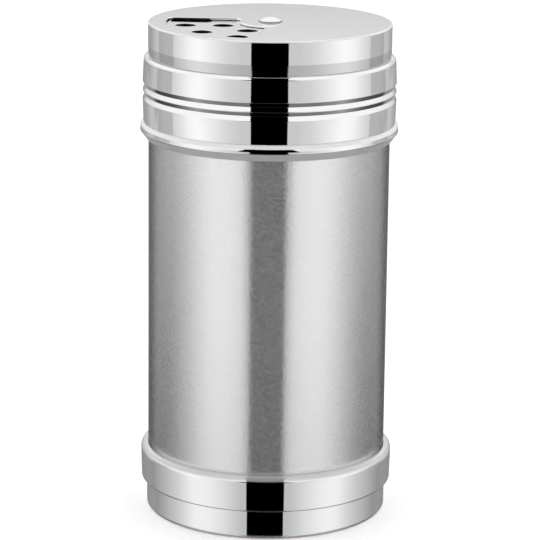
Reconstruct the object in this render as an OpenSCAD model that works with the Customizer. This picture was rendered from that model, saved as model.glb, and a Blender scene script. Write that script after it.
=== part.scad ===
// Seasoning pot with a turning sprinkle lid, in millimetres.
// The pot stands on z = 0 with its axis on Z, and the viewer's side is -Y.
// Every shell is formed sheet: one bent outer line, thickened inward and turned about the axis.

/* [Container] */
// Outer diameter of the brushed tube
tube_d = 60; // [50:1:80]
// Length of the tube, end to end
tube_len = 90.5; // [50:1:140]
// Sheet thickness of tube, pan, base and neck
body_sheet = 0.45; // [0.35:0.05:0.6]
// How far the tube's lower flange stands out in its seam
low_flange = 0.8; // [0.7:0.05:0.85]
// How far the tube's upper flange stands out in its seam
top_flange = 0.5; // [0.4:0.05:0.55]

/* [Base cup] */
// Height of the narrow foot band
foot_h = 7.5; // [5:0.5:12]
// How far the foot band stands out from the tube
foot_out = 0.3; // [0.05:0.05:0.4]
// How far the base ring's upper edge stands out from the tube
ring_out = 1.85; // [1.5:0.05:2.5]
// How much the base ring narrows towards its lower edge
ring_taper = 0.25; // [0:0.05:0.35]
// Height of the base ring with its shoulder
ring_h = 9; // [6:0.5:20]
// Rounding of the base ring's shoulder
shoulder_r = 1.6; // [1:0.1:1.6]
// Rounding of the base ring's lower edge
ring_edge_r = 0.7; // [0.65:0.05:0.8]
// Rounding of the foot
foot_r = 1; // [1:0.1:2.2]
// Depth of the recess under the pot
recess_h = 1.6; // [0.8:0.1:2.5]
// Width of the flat ring that the pot stands on
foot_flat = 3; // [2:0.5:6]
// Clear height between the recess and the floor pan
floor_gap = 0.5; // [0.3:0.1:1.5]
// Height of the raised middle of the floor pan
pan_rise = 0.6; // [0:0.1:1.2]
// Width of the floor pan's low ring
pan_ring = 8; // [5:0.5:12]

/* [Neck] */
// Rounding of the bead under the lid
bead_r = 1.5; // [1.3:0.05:2]
// How far the bead stands out from the tube
bead_out = 2.05; // [2.05:0.05:2.6]
// Height of the slope that leads from the tube out to the bead
bead_slope_h = 2; // [1.5:0.1:2.5]
// How far the neck's outer wall lies inside the tube's outer wall
neck_in = 0.3; // [0.2:0.05:0.5]
// Height of the neck above the bead
neck_h = 14.25; // [11.5:0.25:20]
// Rounding of the rolled rim
rim_r = 0.8; // [0.7:0.05:1.2]

/* [Seal] */
// Thickness of the seal ring
seal_h = 1.2; // [0.8:0.1:2]
// Width of the seal ring
seal_w = 2.6; // [1.8:0.1:3.5]

/* [Lid collar] */
// Sheet thickness of the lid's pieces
lid_sheet = 0.4; // [0.3:0.05:0.45]
// How far the collar stands out from the tube at the grooves
collar_out = 1.45; // [1.35:0.05:1.9]
// How much the collar narrows up to its shoulder
shoulder_taper = 0.3; // [0:0.05:0.35]
// How much the collar narrows down to its lower edge
skirt_taper = 0.2; // [0:0.05:0.25]
// Rounding of the collar's shoulder
collar_r = 0.9; // [0.7:0.05:0.95]
// Height of the collar wall above the grooves
groove_drop = 5.9; // [3:0.1:7]
// Number of rolled grooves
groove_n = 2; // [1:1:3]
// Distance between grooves, which is the pitch of the thread
groove_pitch = 2.2; // [1.8:0.1:2.6]
// Depth of the grooves
groove_depth = 0.5; // [0.2:0.05:0.6]

/* [Turning cap] */
// How far the cap stands out from the tube
cap_out = 0.1; // [0.1:0.05:0.4]
// Height of the cap
cap_h = 8.2; // [6:0.1:14]
// Rounding of the cap's top edge
cap_r = 0.6; // [0.6:0.1:1.3]
// Height of the cap's pressed hem
hem_h = 2.4; // [1.5:0.1:4]
// How much the hem narrows
hem_taper = 0.1; // [0:0.05:0.15]
// Inner radius of the window
window_in = 7.6; // [6:0.1:9]
// Outer radius of the window
window_out = 25.6; // [24.8:0.1:26.5]
// Direction of the window's far edge
window_from = 177; // [174:1:180]
// Direction of the window's near edge
window_to = 262; // [259:1:266]
// How far the far edge lies beside the axis
window_shift = 3.8; // [2:0.1:4.5]
// Corner rounding of the window
window_r = 1.4; // [0.6:0.1:1.6]

/* [Sieve insert] */
// Diameter of the sprinkle holes
hole_d = 5.2; // [4:0.1:5.4]
// Radius of the outer row of sprinkle holes
outer_row_r = 21; // [19.5:0.1:21.5]
// Radius of the inner row of sprinkle holes
inner_row_r = 11.9; // [11.2:0.1:12.5]
// Direction of the middle of the sprinkle holes
holes_at = 218; // [216:1:220]
// Angle between holes of the outer row
outer_step = 30; // [27:1:31]
// Angle between holes of the inner row
inner_step = 48; // [44:1:52]
// Diameter of the fine holes
fine_d = 2.4; // [1.6:0.1:2.8]
// Direction of the middle of the fine holes
fine_at = 40; // [34:1:46]
// Angle between fine holes of a row
fine_step = 22; // [18:1:24]
// Inner radius of the pour opening
pour_in = 15; // [14:0.1:16]
// Outer radius of the pour opening
pour_out = 25; // [23.5:0.1:25.5]
// Direction of the pour opening's first edge
pour_from = 100; // [96:1:106]
// Direction of the pour opening's last edge
pour_to = 176; // [173:1:176]

/* [Rivet] */
// Diameter of the rivet's shank
rivet_d = 4; // [3:0.1:5]
// Diameter of the rivet's dome
dome_d = 6.2; // [5.5:0.1:8]
// Height of the rivet's dome
dome_h = 1.2; // [0.8:0.1:2]
// Diameter of the rivet's closed end
tail_d = 6; // [5.4:0.1:7]
// Height of the rivet's closed end
tail_h = 0.8; // [0.5:0.1:1.2]
// Thickness of the spring washer
spring_t = 0.3; // [0.2:0.05:0.5]
// Dish of the spring washer
spring_dish = 0.4; // [0.2:0.05:0.8]
// Outer diameter of both washers
washer_d = 10; // [8.5:0.5:12]
// Thickness of the flat washer
washer_t = 0.5; // [0.3:0.1:1]

/* [Clearances] */
// Gap between pieces that are pressed together
press_gap = 0.05; // [0.03:0.01:0.08]
// Radial gap of the rivet in its holes
pivot_gap = 0.05; // [0.03:0.01:0.08]
// Gap under the rivet's dome and above the spring washer
head_gap = 0.03; // [0.02:0.01:0.06]
// Gap between the cap and the insert's top
plate_gap = 0.15; // [0.1:0.05:0.3]
// Radial gap between the cap and the insert's wall
turn_gap = 0.3; // [0.25:0.05:0.35]
// Gap between the cap's lower edge and the collar's shoulder
cap_gap = 0.15; // [0.1:0.05:0.3]
// Gap between the collar's lower edge and the bead
skirt_gap = 0.2; // [0.1:0.05:0.4]
// Gap between the rim and the seal ring
seal_gap = 0.1; // [0.05:0.05:0.2]

/* [Hidden] */
$fn = 144;

// points on each bend
bend_n = 7;
// roundings of the sheet: inside bends, the foot band's crease, and soft forms in the floors
tight_r = 0.25;
crease_r = 0.1;
soft_r = 1;
// how much tighter the insert's edge is bent than the cap's, which nests over it
nest = 0.1;
// how far a cut runs past a face
cut = 5;

// radii of the container
tube_r = tube_d / 2;
foot_band_r = tube_r + foot_out;
ring_top_r = tube_r + ring_out;
ring_low_r = ring_top_r - ring_taper;
neck_r = tube_r - neck_in;
bead_out_r = tube_r + bead_out;

// levels of the container, upwards
ring_top_z = foot_h + ring_h;
ledge_z = foot_h + body_sheet;
tube_low_z = ledge_z + body_sheet;
tube_top_z = tube_low_z + tube_len;
bead_top_z = tube_top_z + body_sheet;
bead_turn_z = bead_top_z - 1.4 * bead_r;
bead_low_z = bead_turn_z - bead_slope_h;
rim_z = bead_top_z + neck_h;
pan_z = recess_h + body_sheet + floor_gap;

// radii of the lid
cap_out_r = tube_r + cap_out;
cap_in_r = cap_out_r - lid_sheet;
hat_r = cap_in_r - turn_gap;
collar_out_r = tube_r + collar_out;
collar_top_r = collar_out_r - shoulder_taper;
collar_low_r = collar_out_r - skirt_taper;
hat_flange_r = collar_top_r - collar_r;
seal_out_r = hat_flange_r - press_gap;

// levels of the lid, upwards
seal_z = rim_z + seal_gap;
flange_z = seal_z + seal_h;
shoulder_z = flange_z + 2 * lid_sheet;
cap_low_z = shoulder_z + cap_gap;
cap_top_z = cap_low_z + cap_h;
plate_z = cap_top_z - lid_sheet - plate_gap;
groove_top_z = shoulder_z - groove_drop;
groove_low_z = groove_top_z - groove_n * groove_pitch;
skirt_z = bead_top_z + skirt_gap;

// levels and radii of the rivet, downwards
shank_r = rivet_d / 2;
shank_hole_r = shank_r + pivot_gap;
dome_z = cap_top_z + head_gap;
spring_z = plate_z - lid_sheet - head_gap;
washer_z = spring_z - spring_t - spring_dish;
tail_z = washer_z - washer_t;

// a point at a distance and an angle from a centre
function polar(r, a) = r * [cos(a), sin(a)];

// points of an arc, both ends included
function arc(centre, r, from, to, n = bend_n) =
    [for (i = [0:n]) centre + polar(r, from + (to - from) * i / n)];

function unit(v) = v / norm(v);
function heading(v) = atan2(v.y, v.x);

// the bend of radius r at b, on the way from a to c
function bend(a, b, c, r) =
    let (
        back = unit(a - b),
        on = unit(c - b),
        half = acos(back * on) / 2,
        centre = b + unit(back + on) * r / sin(half),
        start = b + back * r / tan(half),
        from = heading(start - centre),
        turn = (heading(b + on * r / tan(half) - centre) - from + 540) % 360 - 180
    )
    r == 0 ? [b] : arc(centre, r, from, from + turn);

// a line without the points that two bends share
function distinct(line) =
    [for (i = [0:len(line) - 1]) if (i == 0 || norm(line[i] - line[max(i - 1, 0)]) > 0.001) line[i]];

// a bent line through corners given as [r, z, bend radius]
function bent(corners) =
    let (last = len(corners) - 1, flat = [for (c = corners) [c.x, c.y]])
    distinct([for (i = [0:last])
        each (i == 0 || i == last) ? [flat[i]] : bend(flat[i - 1], flat[i], flat[i + 1], corners[i].z)]);

// the line moved by t to its left, kept parallel at each point
function beside(line, t) =
    let (
        last = len(line) - 1,
        side = [for (i = [1:last]) let (d = unit(line[i] - line[i - 1])) [-d.y, d.x]]
    )
    [for (i = [0:last])
        let (m = side[max(i - 1, 0)], n = side[min(i, last - 1)])
        line[i] + t * (m + n) / (1 + m * n)];

// sheet of thickness t on the left of an outer line, turned about the axis
module turned_sheet(line, t) {
    inner = beside(line, t);
    rotate_extrude()
        polygon(concat(line, [for (i = [len(inner) - 1:-1:0]) inner[i]]));
}

// outline of a fan-shaped opening between two edges, each a direction and its distance beside the axis
function fan(r0, r1, a0, side0, a1, side1, q) =
    let (
        v0 = q - side0,
        v1 = q - side1,
        low0 = asin(v0 / (r0 + q)),
        high0 = asin(v0 / (r1 - q)),
        low1 = asin(v1 / (r0 + q)),
        high1 = asin(v1 / (r1 - q))
    )
    concat(
        arc(polar(r1 - q, a0 + high0), q, a0 - 90, a0 + high0),
        arc([0, 0], r1, a0 + high0, a1 - high1, 30),
        arc(polar(r1 - q, a1 - high1), q, a1 - high1, a1 + 90),
        arc(polar(r0 + q, a1 - low1), q, a1 + 90, a1 - low1 + 180),
        arc([0, 0], r0, a1 - low1, a0 + low0, 20),
        arc(polar(r0 + q, a0 + low0), q, a0 + low0 + 180, a0 + 270)
    );

// a cut straight down through a sheet whose top is at z
module punch(z)
    translate([0, 0, z - cut])
        linear_extrude(2 * cut)
            children();

// the brushed tube, flanged outward at both ends
module container_tube()
    color("darkgray")
        turned_sheet(bent([
            [tube_r + low_flange, tube_low_z + body_sheet, 0],
            [tube_r, tube_low_z + body_sheet, tight_r],
            [tube_r, tube_top_z - body_sheet, tight_r],
            [tube_r + top_flange, tube_top_z - body_sheet, 0]
        ]), body_sheet);

// the pan that closes the tube, hung by its flange between tube and base cup
pan_r = foot_band_r - body_sheet - 2 * press_gap;
pan_rise_r = pan_r - pan_ring;
module floor_pan()
    color("gainsboro")
        turned_sheet(bent([
            [0, pan_z + pan_rise, 0],
            [pan_rise_r - 2 * pan_rise, pan_z + pan_rise, soft_r],
            [pan_rise_r, pan_z, soft_r],
            [pan_r, pan_z, soft_r],
            [pan_r, ledge_z, tight_r],
            [tube_r + low_flange, ledge_z, 0]
        ]), body_sheet);

// the stepped base cup with its recessed underside
foot_in_r = foot_band_r - foot_r - foot_flat;
module base_cup()
    color("silver")
        turned_sheet(bent([
            [0, recess_h, 0],
            [foot_in_r - recess_h, recess_h, soft_r],
            [foot_in_r, 0, soft_r],
            [foot_band_r, 0, foot_r],
            [foot_band_r, foot_h, crease_r],
            [ring_low_r, foot_h, ring_edge_r],
            [ring_top_r, ring_top_z, shoulder_r],
            [tube_r + press_gap, ring_top_z, 0]
        ]), body_sheet);

// the bead round the tube's end, the neck and its rolled rim
module neck_ring()
    color("silver")
        turned_sheet(bent([
            [tube_r + press_gap + body_sheet, bead_low_z, 0],
            [bead_out_r, bead_turn_z, 0.6 * bead_r],
            [bead_out_r, bead_top_z, bead_r],
            [neck_r, bead_top_z, tight_r],
            [neck_r, rim_z, rim_r],
            [neck_r - 2 * rim_r, rim_z, rim_r],
            [neck_r - 2 * rim_r, rim_z - rim_r, 0]
        ]), body_sheet);

module seal_ring()
    color("whitesmoke")
        translate([0, 0, seal_z])
            difference() {
                cylinder(h = seal_h, r = seal_out_r);
                translate([0, 0, -cut])
                    cylinder(h = seal_h + 2 * cut, r = seal_out_r - seal_w);
            }

// the rolled grooves, downwards: a skew above 1 makes the upper flank the longer one
groove_steps = 14;
groove_skew = 1.25;
function groove_depth_at(t) = groove_depth * pow(sin(180 * pow(t, groove_skew)), 2);
groove_line = [for (i = [0:groove_n * groove_steps - 1])
    let (t = (i % groove_steps) / groove_steps)
    [collar_out_r - groove_depth_at(t), groove_top_z - (i / groove_steps) * groove_pitch]];

// the collar: skirt, grooves, tapered wall and shoulder
module lid_collar()
    color("silver")
        turned_sheet(concat(
            [[collar_low_r, skirt_z], [collar_out_r, groove_low_z]],
            [for (i = [len(groove_line) - 1:-1:0]) groove_line[i]],
            bend([collar_out_r, groove_top_z], [collar_top_r, shoulder_z], [0, shoulder_z], collar_r),
            [[hat_r + press_gap, shoulder_z]]
        ), lid_sheet);

// the sprinkle holes that the window lies over, and the fine holes of the next setting
module sprinkle_holes() {
    for (i = [-1:1])
        rotate(holes_at + i * outer_step)
            translate([outer_row_r, 0])
                circle(d = hole_d, $fn = 48);
    for (i = [-1, 1])
        rotate(holes_at + i * inner_step / 2)
            translate([inner_row_r, 0])
                circle(d = hole_d, $fn = 48);
}

module fine_holes()
    for (row = [0:2])
        for (i = [0:row + 1])
            rotate(fine_at + (i - (row + 1) / 2) * fine_step)
                translate([inner_row_r + row * (outer_row_r - inner_row_r) / 2, 0])
                    circle(d = fine_d, $fn = 32);

// the perforated hat that carries the cap
module sieve_insert()
    color("lightgray")
        difference() {
            turned_sheet(bent([
                [hat_flange_r, flange_z + lid_sheet, 0],
                [hat_r, flange_z + lid_sheet, tight_r],
                [hat_r, plate_z, cap_r - nest],
                [0, plate_z, 0]
            ]), lid_sheet);
            punch(plate_z) sprinkle_holes();
            punch(plate_z) fine_holes();
            punch(plate_z) polygon(fan(pour_in, pour_out, pour_from, 0, pour_to, 0, window_r));
            punch(plate_z) circle(r = shank_hole_r, $fn = 64);
        }

// the turning cap with its window
module turning_cap()
    color("silver")
        difference() {
            turned_sheet(bent([
                [cap_out_r - hem_taper, cap_low_z, 0],
                [cap_out_r, cap_low_z + hem_h, 0],
                [cap_out_r, cap_top_z, cap_r],
                [0, cap_top_z, 0]
            ]), lid_sheet);
            punch(cap_top_z)
                polygon(fan(window_in, window_out, window_from, window_shift, window_to, 0, window_r));
            punch(cap_top_z) circle(r = shank_hole_r, $fn = 64);
        }

// the rivet: dome, shank and closed end in one turned outline
dome_ball_r = (dome_d * dome_d / 4 + dome_h * dome_h) / (2 * dome_h);
dome_edge = asin((dome_ball_r - dome_h) / dome_ball_r);
module pivot_rivet()
    color("silver")
        rotate_extrude($fn = 96)
            polygon(concat(
                bent([
                    [0, tail_z - tail_h, 0],
                    [tail_d / 2, tail_z - tail_h, tail_h / 2],
                    [tail_d / 2, tail_z, 0]
                ]),
                [[shank_r, tail_z], [shank_r, dome_z]],
                arc([0, dome_z + dome_h - dome_ball_r], dome_ball_r, dome_edge, 90, 12)
            ));

// the dished washer, its outer edge up
module spring_washer()
    color("dimgray")
        rotate_extrude($fn = 96)
            polygon([
                [shank_hole_r, washer_z],
                [washer_d / 2, washer_z + spring_dish],
                [washer_d / 2, washer_z + spring_dish + spring_t],
                [shank_hole_r, washer_z + spring_t]
            ]);

module rivet_washer()
    color("gray")
        translate([0, 0, tail_z])
            difference() {
                cylinder(h = washer_t, d = washer_d);
                translate([0, 0, -cut])
                    cylinder(h = washer_t + 2 * cut, r = shank_hole_r);
            }

container_tube();
floor_pan();
base_cup();
neck_ring();
seal_ring();
lid_collar();
sieve_insert();
turning_cap();
pivot_rivet();
spring_washer();
rivet_washer();
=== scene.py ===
# %% [markdown]
# # A seasoning pot with a turning sprinkle lid
# The pot is spun and pressed from thin stainless sheet: a brushed tube between a mirror-polished
# base cup and a mirror-polished lid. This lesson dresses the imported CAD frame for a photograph.
# Every shell is turned again from its own bent outline, finer than the CAD mesh, because a mirror
# shows every facet. The finishes are procedural, and the studio is a pattern of light painted on
# the world.

# %% Load the frame
import math
from collections import namedtuple

import bmesh
import bpy
from mathutils import Matrix, Vector


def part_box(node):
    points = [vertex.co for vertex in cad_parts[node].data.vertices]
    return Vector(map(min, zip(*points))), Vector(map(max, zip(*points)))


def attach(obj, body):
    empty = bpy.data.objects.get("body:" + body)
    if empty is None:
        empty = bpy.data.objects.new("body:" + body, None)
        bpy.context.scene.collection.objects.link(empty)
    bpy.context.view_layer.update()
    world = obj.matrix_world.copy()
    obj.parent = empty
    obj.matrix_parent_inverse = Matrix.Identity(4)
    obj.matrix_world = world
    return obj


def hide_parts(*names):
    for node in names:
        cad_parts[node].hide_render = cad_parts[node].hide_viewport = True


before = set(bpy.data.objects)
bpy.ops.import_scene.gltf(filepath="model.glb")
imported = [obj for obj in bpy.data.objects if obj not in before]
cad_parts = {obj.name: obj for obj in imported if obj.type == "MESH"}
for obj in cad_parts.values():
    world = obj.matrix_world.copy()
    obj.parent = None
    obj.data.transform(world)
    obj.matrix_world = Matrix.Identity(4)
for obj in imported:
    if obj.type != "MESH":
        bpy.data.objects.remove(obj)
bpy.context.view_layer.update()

scene = bpy.context.scene
MM = 0.001


def in_mm(place):
    """A place in metres as rounded millimetres, for the printed lines."""
    return [round(x / MM, 2) for x in place]


# %% [markdown]
# ## Sizes that pieces share
# All sizes are in millimetres. The radii are those of the sheet's outer face, and the levels are
# heights above the table. Pieces that meet take their sizes from here, so that a seam stays a seam.
# TIGHT is the bend of a pressed seam, and the gaps keep fitted pieces, turning pieces and near
# neighbours just clear of each other.

# %% Shared sizes
BODY_SHEET, LID_SHEET, TIGHT = 0.45, 0.4, 0.25
FIT_GAP, TURN_GAP, FINE_GAP = 0.05, 0.03, 0.02
TUBE_R, NECK_R, HAT_R, HOLE_R = 30.0, 29.7, 29.4, 2.05
FOOT_H = 7.5
RING_TOP_Z = FOOT_H + 9
LEDGE_Z = FOOT_H + BODY_SHEET
TUBE_LOW_Z = LEDGE_Z + BODY_SHEET
TUBE_TOP_Z = TUBE_LOW_Z + 90.5
BEAD_TOP_Z = TUBE_TOP_Z + BODY_SHEET
BEAD_LOW_Z, BEAD_TURN_Z = BEAD_TOP_Z - 4.1, BEAD_TOP_Z - 2.1
RIM_Z = BEAD_TOP_Z + 14.25
SEAL_Z = RIM_Z + 0.1
FLANGE_Z = SEAL_Z + 1.2
SHOULDER_Z = FLANGE_Z + 2 * LID_SHEET
CAP_LOW_Z = SHOULDER_Z + 0.15
HEM_TOP_Z = CAP_LOW_Z + 2.4
CAP_TOP = CAP_LOW_Z + 8.2
PLATE_Z = CAP_TOP - LID_SHEET - 0.15
print(f"levels in mm: crease {FOOT_H}, bead {BEAD_TOP_Z:.2f}, rim {RIM_Z:.2f}, "
      f"shoulder {SHOULDER_Z:.2f}, cap {CAP_TOP:.2f}")

# %% [markdown]
# ## The camera
# The photograph looks down on the pot by fourteen degrees through a long lens, from about 0.7 m.
# The focal length is written in pixels of the 540 pixel frame, because that is how it was
# measured, and turned into millimetres of a 36 mm sensor. A Track To constraint could aim the
# camera, but one that was fitted to a photograph is given by its place and its angles, so these
# are set. It leans by 0.65 degrees, as the pot does in the picture.

# %% Camera
IMAGE_PX, FOCAL_PX, SENSOR_MM = 540, 2793, 36.0
CAMERA_MM = Vector((0.59, -681.6, 232.7))
LOOK_DOWN, LEAN = math.radians(14.14), math.radians(0.65)
NEAREST_SEEN = 0.01

camera_data = bpy.data.cameras.new("camera")
camera_data.sensor_width = SENSOR_MM
camera_data.lens = FOCAL_PX / IMAGE_PX * SENSOR_MM
camera_data.clip_start = NEAREST_SEEN
camera = bpy.data.objects.new("camera", camera_data)
scene.collection.objects.link(camera)
camera.matrix_world = (Matrix.Translation(CAMERA_MM * MM)
                       @ Matrix.Rotation(math.pi / 2 - LOOK_DOWN, 4, "X")
                       @ Matrix.Rotation(LEAN, 4, "Z"))
scene.camera = camera
print(f"lens {camera_data.lens:.1f} mm, {CAMERA_MM.length:.0f} mm from the pot's foot")

# %% [markdown]
# ## Small helpers for node trees
# Materials, the world and Geometry Nodes are all graphs, and a graph built in a script reads best
# when one call makes a node, sets its values and plugs in its links. A link is given as a socket,
# a value as a number.

# %% Node helpers
def add(tree, kind, inputs=(), **settings):
    """A new node with its settings, its inputs taken from a dict or list of numbers and sockets."""
    node = tree.nodes.new(kind)
    for name, value in settings.items():
        setattr(node, name, value)
    pairs = inputs.items() if isinstance(inputs, dict) else enumerate(inputs)
    for key, value in pairs:
        if isinstance(value, bpy.types.NodeSocket):
            tree.links.new(value, node.inputs[key])
        elif value is not None:
            node.inputs[key].default_value = value
    return node


def out(tree, kind, inputs=(), **settings):
    """The first output of a new node."""
    return add(tree, kind, inputs, **settings).outputs[0]


def geo(tree, kind, inputs=(), **settings):
    """The same for a Geometry node, without the word that starts all their names."""
    return out(tree, "GeometryNode" + kind, inputs, **settings)


def maths(tree, operation, *values):
    """One sum, product or function, shader or geometry tree alike."""
    return out(tree, "ShaderNodeMath", values, operation=operation)


def vector(tree, *values):
    """Up to three values as one vector."""
    return out(tree, "ShaderNodeCombineXYZ", values)


def step_between(tree, value, low, high, from_level=0.0, to_level=1.0):
    """A smooth rise from one level to another while value goes from low to high."""
    return out(tree, "ShaderNodeMapRange", [value, low, high, from_level, to_level],
               interpolation_type="SMOOTHSTEP")


def blend(tree, share, first, second):
    """first where share is 0, second where it is 1."""
    return out(tree, "ShaderNodeMix", [share, None, first, second], data_type="FLOAT")


def add_sockets(tree, in_out, sockets):
    """Names what goes into a group of nodes, or what comes out."""
    for name, kind in sockets:
        tree.interface.new_socket(name=name, in_out=in_out, socket_type="NodeSocket" + kind)


def empty_material(name):
    """A node material without nodes, and its tree."""
    material = bpy.data.materials.new(name)
    material.use_nodes = True
    material.node_tree.nodes.clear()
    return material, material.node_tree


# %% [markdown]
# ## The studio
# Polished steel has hardly any look of its own: it shows the studio. A photographer puts a black
# card in front, bright soft boxes at its sides that fade outwards, a white ceiling, and leaves the
# floor dim. Area lamps and cards could do that, but their reflections would slide over a pot this
# close. The world is infinitely far away, so a pattern on it gives the straight, even strips that
# a long studio tent gives.
#
# The pattern is written as light levels over the bearing, 0 in front and 180 behind, one row of
# levels for each zone of height. The upright mirror walls see only two zones, just below eye
# level: the base sees the lower one, the lid the upper one. The zones under these light the lower
# flanks of the grooves and the brushed tube: a bright one, a shaded one, and the floor. Of the
# zones above them, the first is for the cap's flat top, and the ceiling draws the white lines on
# every rounded edge. A colour ramp holds only values up to 1, so TOP_LEVEL scales them, and
# DIMMER sets how bright the whole studio is.

# %% Light levels
DIMMER = 0.8
TOP_LEVEL = 1.8
FLOOR_LEVELS = [(0, 0.56), (90, 0.52), (130, 0.45), (180, 0.45)]
SHADE_LEVELS = [(0, 0.27), (60, 0.27), (95, 0.48), (130, 0.45), (180, 0.45)]
UNDER_LEVELS = [(0, 0.98), (30, 1.04), (40, 1.13), (50, 1.12), (61, 1.06), (73, 0.84), (84, 0.60),
                (94, 0.44), (104, 0.28), (114, 0.15), (125, 0.10), (140, 0.08), (147, 0.25),
                (180, 0.35)]
LOW_LEVELS = [(17, 0.78), (22, 0.80), (30, 0.93), (38, 1.10), (46, 1.21), (54, 1.31), (62, 1.36),
              (72, 1.33), (80, 1.16), (90, 0.95), (101, 0.79), (114, 0.62), (128, 0.44),
              (141, 0.45), (160, 0.38), (180, 0.38)]
MIDDLE_LEVELS = [(17, 0.90), (26, 0.90), (31, 0.96), (37, 1.00), (43, 1.09), (49, 1.19),
                 (56, 1.30), (62, 1.40), (69, 1.49), (76, 1.46), (83, 1.38), (91, 1.20),
                 (98, 1.06), (103, 0.98), (103.5, 0.71), (116, 0.69), (128, 0.60), (128.6, 0.80),
                 (136, 0.79), (145, 0.60), (155, 0.48), (168, 0.45), (180, 0.60)]
OVER_LEVELS = [(17, 1.20), (60, 1.40), (120, 1.35), (150, 1.05), (172, 0.98), (175, 0.96),
               (180, 0.96)]
CEILING_LEVELS = [(0, 1.45), (180, 1.45)]
ZONES = [(SHADE_LEVELS, -69, -65), (UNDER_LEVELS, -49, -45), (LOW_LEVELS, -25.5, -24),
         (MIDDLE_LEVELS, -18, -16.5), (OVER_LEVELS, -4, 4), (CEILING_LEVELS, 14, 22)]


def level_ramp(tree, bearing, levels):
    """The levels of one zone as a ramp over the bearing."""
    node = add(tree, "ShaderNodeValToRGB", [maths(tree, "DIVIDE", bearing, 180)])
    elements = node.color_ramp.elements
    while len(elements) > 1:
        elements.remove(elements[-1])
    for i, (degrees, level) in enumerate(levels):
        element = elements[0] if i == 0 else elements.new(degrees / 180)
        element.position = degrees / 180
        element.color = (*[level / TOP_LEVEL] * 3, 1)
    return maths(tree, "MULTIPLY", node.outputs["Color"], TOP_LEVEL * DIMMER)


print("zones of the studio, upwards:",
      ["floor"] + [f"over {low} to {high} deg" for _, low, high in ZONES])

# %% [markdown]
# ## Bands that line up
# The collar is wider than the cap, so its part of the pattern is drawn a little narrower, and the
# bands of both line up. What the cap's wall sees lies between two heights, the lower of which
# rises a little towards the pot's sides. On the right the bands are a little wider.
# Straight behind the pot the zone over eye level gets brighter upwards, which is the fade on the
# cap's flat top.

# %% The world's bearings and zones
COLLAR_NARROWER, RIGHT_WIDER = 0.05, 0.05
CAP_SEES_FROM = (60, 115, -14.6, -12.8)
CAP_SEES_TO = -8.5
BEHIND = (172, 175)
TOP_PLANE_RISE = (7.9, 10.3, 0.74, 1.24)

world = bpy.data.worlds.new("studio")
scene.world = world
world.use_nodes = True
tree = world.node_tree
tree.nodes.clear()
direction = add(tree, "ShaderNodeSeparateXYZ", [
    add(tree, "ShaderNodeTexCoord").outputs["Generated"]]).outputs
from_front = maths(tree, "ARCTAN2", direction[0], maths(tree, "MULTIPLY", direction[1], -1))
bearing = maths(tree, "DEGREES", maths(tree, "ABSOLUTE", from_front))
height = maths(tree, "DEGREES", maths(tree, "ARCSINE", direction[2]))
below_cap = maths(tree, "LESS_THAN", height, step_between(tree, bearing, *CAP_SEES_FROM))
on_collar = maths(tree, "ADD", below_cap, maths(tree, "GREATER_THAN", height, CAP_SEES_TO))
on_right = maths(tree, "GREATER_THAN", direction[0], 0.0)
aligned = maths(tree, "MULTIPLY", bearing, maths(tree, "MULTIPLY_ADD", on_right, -RIGHT_WIDER, 1.0))
aligned = maths(tree, "MULTIPLY", aligned,
                maths(tree, "MULTIPLY_ADD", on_collar, COLLAR_NARROWER, 1.0))
level = level_ramp(tree, bearing, FLOOR_LEVELS)
for levels, low, high in ZONES:
    zone = level_ramp(tree, aligned if levels is MIDDLE_LEVELS else bearing, levels)
    if levels is OVER_LEVELS:
        rise = out(tree, "ShaderNodeMapRange", [height, *TOP_PLANE_RISE])
        behind = step_between(tree, bearing, *BEHIND)
        zone = maths(tree, "MULTIPLY", zone, blend(tree, behind, 1.0, rise))
    level = blend(tree, step_between(tree, height, low, high), level, zone)
print(f"{len(ZONES) + 1} zones of light in {len(tree.nodes)} nodes")

# %% [markdown]
# ## The black card
# The card draws the black strip down the front of every mirror. It is written as half its width
# in degrees at each height. An upright wall sees 17.4 degrees of it to each side, and the card
# widens steeply up and down, where the small roundings look. Between two heights well below eye
# level it lets a little light through, because the strip isn't quite black on the grooves.

# %% The card, and the world's two faces
CARD_EDGE = [(-80, 90), (-70, 34), (-60, 26), (-52, 23), (-48, 18), (-38, 18.5), (-32, 24),
             (-28, 28), (-25.5, 17.4), (-4.2, 17.4), (-3.4, 29), (13, 17.5), (30, 18.5),
             (48, 22), (58, 25), (67, 32), (74, 44), (80, 85)]
CARD_SOFT = 0.25
LID_SEES_FROM = -17
GLOW_RISE, GLOW_FALL, GLOW = (-46, -42), (-27, -25.5), 0.08

card_half = CARD_EDGE[0][1]
for (low, half), (high, next_half) in zip(CARD_EDGE, CARD_EDGE[1:]):
    change = add(tree, "ShaderNodeMapRange", [height, low, high, 0.0, next_half - half])
    card_half = maths(tree, "ADD", card_half, change.outputs[0])
on_lid = maths(tree, "GREATER_THAN", height, LID_SEES_FROM)
narrower = maths(tree, "MULTIPLY", on_collar, COLLAR_NARROWER)
card_half = maths(tree, "DIVIDE", card_half, maths(tree, "MULTIPLY_ADD", on_lid, narrower, 1.0))
glow = maths(tree, "MULTIPLY", step_between(tree, height, *GLOW_RISE, 0, GLOW),
             step_between(tree, height, *GLOW_FALL, 1, 0))
past_card = maths(tree, "SUBTRACT", bearing, card_half)
beside_card = maths(tree, "MAXIMUM", step_between(tree, past_card, -CARD_SOFT, CARD_SOFT), glow)
level = maths(tree, "MULTIPLY", level, beside_card)
light = add(tree, "ShaderNodeBackground", {"Color": (1, 1, 1, 1), "Strength": level})
backdrop = add(tree, "ShaderNodeBackground", {"Color": (1, 1, 1, 1), "Strength": 1.0})
seen = add(tree, "ShaderNodeLightPath").outputs["Is Camera Ray"]
mixed = add(tree, "ShaderNodeMixShader", [seen, light.outputs[0], backdrop.outputs[0]])
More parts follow.
